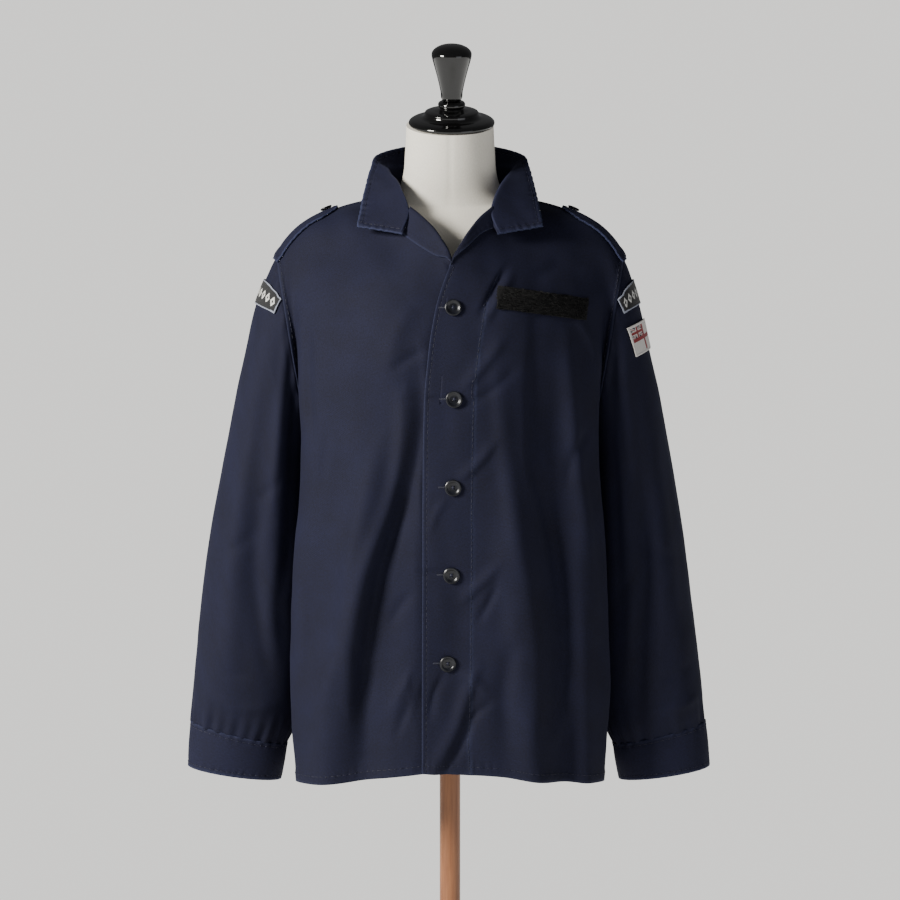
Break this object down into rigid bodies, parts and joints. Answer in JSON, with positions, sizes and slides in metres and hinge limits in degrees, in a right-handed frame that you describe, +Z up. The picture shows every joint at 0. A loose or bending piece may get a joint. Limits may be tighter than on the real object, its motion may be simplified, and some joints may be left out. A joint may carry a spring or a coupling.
{
  "type": "military shirt on a dress form",
  "caption": "Navy long-sleeved uniform shirt with open collar, shoulder straps and buttoned front, on a limbless dress form with turned cap, finial, pole and round base.",
  "frame": {"origin": "centre of the base's underside, on the floor", "axes": "+Z up; -Y towards the front of the shirt; +X towards the wearer's left"},
  "size_m": [0.6586, 0.38, 1.6176],
  "materials": {
    "navy_twill": "matt cotton twill, dark navy",
    "navy_button": "moulded resin, dark navy",
    "black_loop_tape": "black looped fastening tape",
    "title_cloth": "embroidered patch on navy cloth",
    "flag_cloth": "embroidered ensign patch",
    "form_cover": "off-white cotton jersey, stretched",
    "black_lacquer": "turned wood, black lacquer",
    "beech": "satin varnished beech"
  },
  "bodies": {
    "root": {"form_base": "beech", "form_pole": "beech", "form_torso": "form_cover", "form_neck_cap": "black_lacquer", "form_finial": "black_lacquer", "back": "navy_twill", "front_left": "navy_twill", "front_right": "navy_twill", "sleeve_left": "navy_twill", "sleeve_right": "navy_twill", "cuff_left": "navy_twill", "cuff_right": "navy_twill", "collar": "navy_twill", "shoulder_strap_left": "navy_twill", "shoulder_strap_right": "navy_twill", "strap_button_left": "navy_button", "strap_button_right": "navy_button", "front_button_1": "navy_button", "front_button_2": "navy_button", "front_button_3": "navy_button", "front_button_4": "navy_button", "front_button_5": "navy_button", "cuff_button_left": "navy_button", "cuff_button_right": "navy_button", "name_strip": "black_loop_tape", "shoulder_title_left": "title_cloth", "shoulder_title_right": "title_cloth", "flag_patch": "flag_cloth"}
  },
  "joints": []
}
